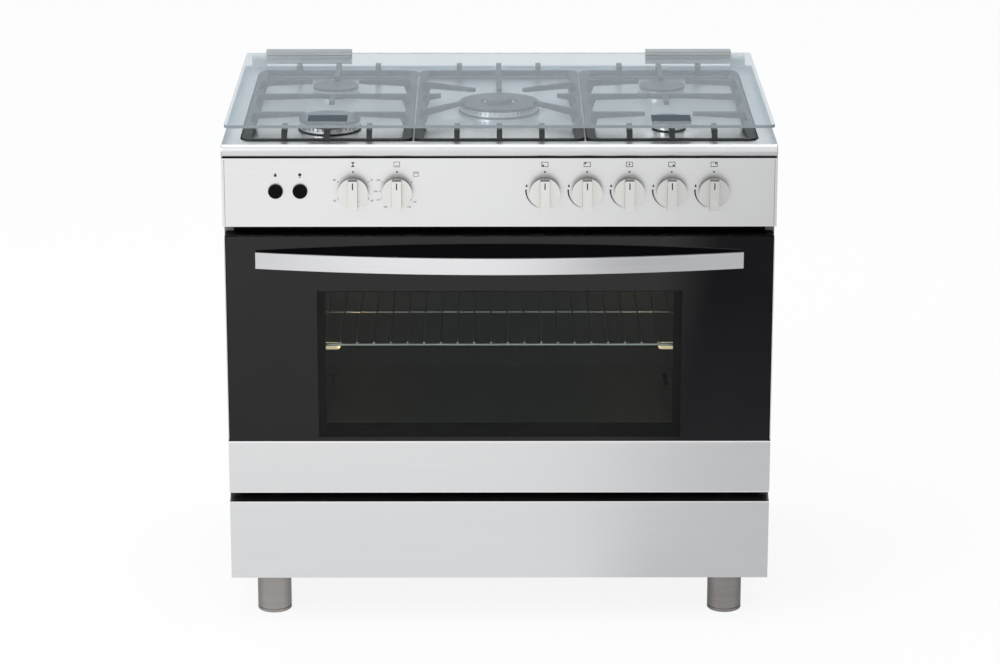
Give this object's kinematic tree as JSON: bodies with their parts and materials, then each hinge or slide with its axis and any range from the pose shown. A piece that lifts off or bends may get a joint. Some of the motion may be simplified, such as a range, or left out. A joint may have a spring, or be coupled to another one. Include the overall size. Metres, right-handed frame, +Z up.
{
  "type": "gas range cooker",
  "caption": "Free-standing stainless gas cooker with burners under a hinged glass lid, a drop-down oven door with window and bowed handle, a front control panel and a storage drawer.",
  "frame": {"origin": "on the floor, under the middle of the whole cooker, door handle included", "axes": "+X to the cook's right along the front, +Y towards the wall behind, +Z up"},
  "size_m": [0.9, 0.6499, 0.85],
  "materials": {
    "casing_paint": "satin grey paint",
    "galvanised_steel": "plain zinc-coated sheet",
    "brushed_stainless": "fine horizontal brushing",
    "hob_stainless": "satin pressed sheet",
    "oven_enamel": "dark vitreous enamel",
    "burner_steel": "plain tube",
    "chromed_wire": "bright plated wire",
    "lamp_glass": "frosted lamp glass",
    "seal_rubber": "matt seal",
    "brass": "turned",
    "pipe_steel": "zinc-plated",
    "black_plastic": "satin moulded",
    "cast_aluminium": "cast and turned",
    "black_enamel_cap": "matt black enamel",
    "ceramic": "glazed white ceramic",
    "cast_iron": "matt black enamel",
    "knob_chrome": "satin-plated",
    "door_black_glass": "black printed glass with a clear window",
    "door_clear_glass": "clear inner pane",
    "lid_glass": "clear toughened glass, faint blue-grey tint",
    "clamp_aluminium": "satin anodised",
    "pad_rubber": "moulded",
    "drawer_steel": "grey paint",
    "leg_metal": "satin turned"
  },
  "bodies": {
    "cooker_body": {"side_panels": "casing_paint", "front_frame": "casing_paint", "base_frame": "galvanised_steel", "back_panel": "galvanised_steel", "door_hinge_brackets": "galvanised_steel", "control_panel": "brushed_stainless", "hob_top": "hob_stainless", "oven_liner": "oven_enamel", "oven_floor_plate": "oven_enamel", "oven_burner": "burner_steel", "grill_burner": "burner_steel", "rack_ladders": "chromed_wire", "wire_shelf": "chromed_wire", "oven_lamps": "lamp_glass", "door_seal": "seal_rubber", "gas_taps": "brass", "gas_inlet": "brass", "gas_manifold": "pipe_steel", "feed_pipes": "pipe_steel", "casing_screws": "pipe_steel", "timer_body": "black_plastic", "cable_gland": "black_plastic", "burner_cups": "cast_aluminium", "burner_heads": "cast_aluminium", "burner_caps": "black_enamel_cap", "spark_plugs": "ceramic", "pan_support_left": "cast_iron", "pan_support_centre": "cast_iron", "pan_support_right": "cast_iron", "lid_hinge_blocks": "clamp_aluminium"},
    "oven_door": {"door_outer_glass": "door_black_glass", "door_strip": "brushed_stainless", "door_frame": "oven_enamel", "door_inner_glass": "door_clear_glass", "door_handle": "brushed_stainless", "door_hinge_arms": "galvanised_steel"},
    "glass_lid": {"lid_glass": "lid_glass", "lid_clamps": "clamp_aluminium", "lid_pads": "pad_rubber"},
    "drawer": {"drawer_front": "brushed_stainless", "drawer_box": "drawer_steel"},
    "timer_dial": {"knob_timer": "knob_chrome"},
    "ignition_button": {"button_ignition": "black_plastic"},
    "lamp_button": {"button_lamp": "black_plastic"},
    "oven_tap": {"tap_plug_oven": "brass"},
    "oven_knob": {"knob_oven": "knob_chrome"},
    "front_left_tap": {"tap_plug_front_left": "brass"},
    "front_left_knob": {"knob_front_left": "knob_chrome"},
    "rear_left_tap": {"tap_plug_rear_left": "brass"},
    "rear_left_knob": {"knob_rear_left": "knob_chrome"},
    "wok_tap": {"tap_plug_wok": "brass"},
    "wok_knob": {"knob_wok": "knob_chrome"},
    "front_right_tap": {"tap_plug_front_right": "brass"},
    "front_right_knob": {"knob_front_right": "knob_chrome"},
    "rear_right_tap": {"tap_plug_rear_right": "brass"},
    "rear_right_knob": {"knob_rear_right": "knob_chrome"},
    "leg_front_left_body": {"leg_front_left": "leg_metal"},
    "leg_rear_left_body": {"leg_rear_left": "leg_metal"},
    "leg_front_right_body": {"leg_front_right": "leg_metal"},
    "leg_rear_right_body": {"leg_rear_right": "leg_metal"}
  },
  "joints": [
    {"name": "oven_door_hinge", "type": "hinge", "parent": "cooker_body", "child": "oven_door", "pos_m": [0, -0.261, 0.2325], "axis": [1, 0, 0], "range_deg": [0, 90], "stiffness_Nm_per_rad": 6, "springref_deg": -8.59},
    {"name": "lid_hinge", "type": "hinge", "parent": "cooker_body", "child": "glass_lid", "pos_m": [0, 0.313, 0.8295], "axis": [-1, 0, 0], "range_deg": [0, 95]},
    {"name": "drawer_slide", "type": "slide", "parent": "cooker_body", "child": "drawer", "axis": [0, -1, 0], "range_m": [0, 0.35]},
    {"name": "timer_turn", "type": "hinge", "parent": "cooker_body", "child": "timer_dial", "pos_m": [-0.237, -0.275, 0.74], "axis": [0, 1, 0], "range_deg": [0, 300]},
    {"name": "ignition_press", "type": "slide", "parent": "cooker_body", "child": "ignition_button", "axis": [0, 1, 0], "range_m": [0, 0.003], "stiffness_N_per_m": 900, "springref_m": -0.002},
    {"name": "lamp_press", "type": "slide", "parent": "cooker_body", "child": "lamp_button", "axis": [0, 1, 0], "range_m": [0, 0.003], "stiffness_N_per_m": 900, "springref_m": -0.002},
    {"name": "oven_turn", "type": "hinge", "parent": "cooker_body", "child": "oven_tap", "pos_m": [-0.166, -0.275, 0.74], "axis": [0, -1, 0], "range_deg": [-60, 240]},
    {"name": "oven_push", "type": "slide", "parent": "oven_tap", "child": "oven_knob", "axis": [0, 1, 0], "range_m": [0, 0.004], "stiffness_N_per_m": 1200, "springref_m": -0.003},
    {"name": "front_left_turn", "type": "hinge", "parent": "cooker_body", "child": "front_left_tap", "pos_m": [0.0733, -0.275, 0.74], "axis": [0, -1, 0], "range_deg": [0, 210]},
    {"name": "front_left_push", "type": "slide", "parent": "front_left_tap", "child": "front_left_knob", "axis": [0, 1, 0], "range_m": [0, 0.004], "stiffness_N_per_m": 1200, "springref_m": -0.003},
    {"name": "rear_left_turn", "type": "hinge", "parent": "cooker_body", "child": "rear_left_tap", "pos_m": [0.1417, -0.275, 0.74], "axis": [0, -1, 0], "range_deg": [0, 210]},
    {"name": "rear_left_push", "type": "slide", "parent": "rear_left_tap", "child": "rear_left_knob", "axis": [0, 1, 0], "range_m": [0, 0.004], "stiffness_N_per_m": 1200, "springref_m": -0.003},
    {"name": "wok_turn", "type": "hinge", "parent": "cooker_body", "child": "wok_tap", "pos_m": [0.2101, -0.275, 0.74], "axis": [0, -1, 0], "range_deg": [0, 210]},
    {"name": "wok_push", "type": "slide", "parent": "wok_tap", "child": "wok_knob", "axis": [0, 1, 0], "range_m": [0, 0.004], "stiffness_N_per_m": 1200, "springref_m": -0.003},
    {"name": "front_right_turn", "type": "hinge", "parent": "cooker_body", "child": "front_right_tap", "pos_m": [0.2785, -0.275, 0.74], "axis": [0, -1, 0], "range_deg": [0, 210]},
    {"name": "front_right_push", "type": "slide", "parent": "front_right_tap", "child": "front_right_knob", "axis": [0, 1, 0], "range_m": [0, 0.004], "stiffness_N_per_m": 1200, "springref_m": -0.003},
    {"name": "rear_right_turn", "type": "hinge", "parent": "cooker_body", "child": "rear_right_tap", "pos_m": [0.3469, -0.275, 0.74], "axis": [0, -1, 0], "range_deg": [0, 210]},
    {"name": "rear_right_push", "type": "slide", "parent": "rear_right_tap", "child": "rear_right_knob", "axis": [0, 1, 0], "range_m": [0, 0.004], "stiffness_N_per_m": 1200, "springref_m": -0.003},
    {"name": "leg_front_left_level", "type": "slide", "parent": "cooker_body", "child": "leg_front_left_body", "axis": [0, 0, -1], "range_m": [0, 0.012]},
    {"name": "leg_rear_left_level", "type": "slide", "parent": "cooker_body", "child": "leg_rear_left_body", "axis": [0, 0, -1], "range_m": [0, 0.012]},
    {"name": "leg_front_right_level", "type": "slide", "parent": "cooker_body", "child": "leg_front_right_body", "axis": [0, 0, -1], "range_m": [0, 0.012]},
    {"name": "leg_rear_right_level", "type": "slide", "parent": "cooker_body", "child": "leg_rear_right_body", "axis": [0, 0, -1], "range_m": [0, 0.012]}
  ]
}
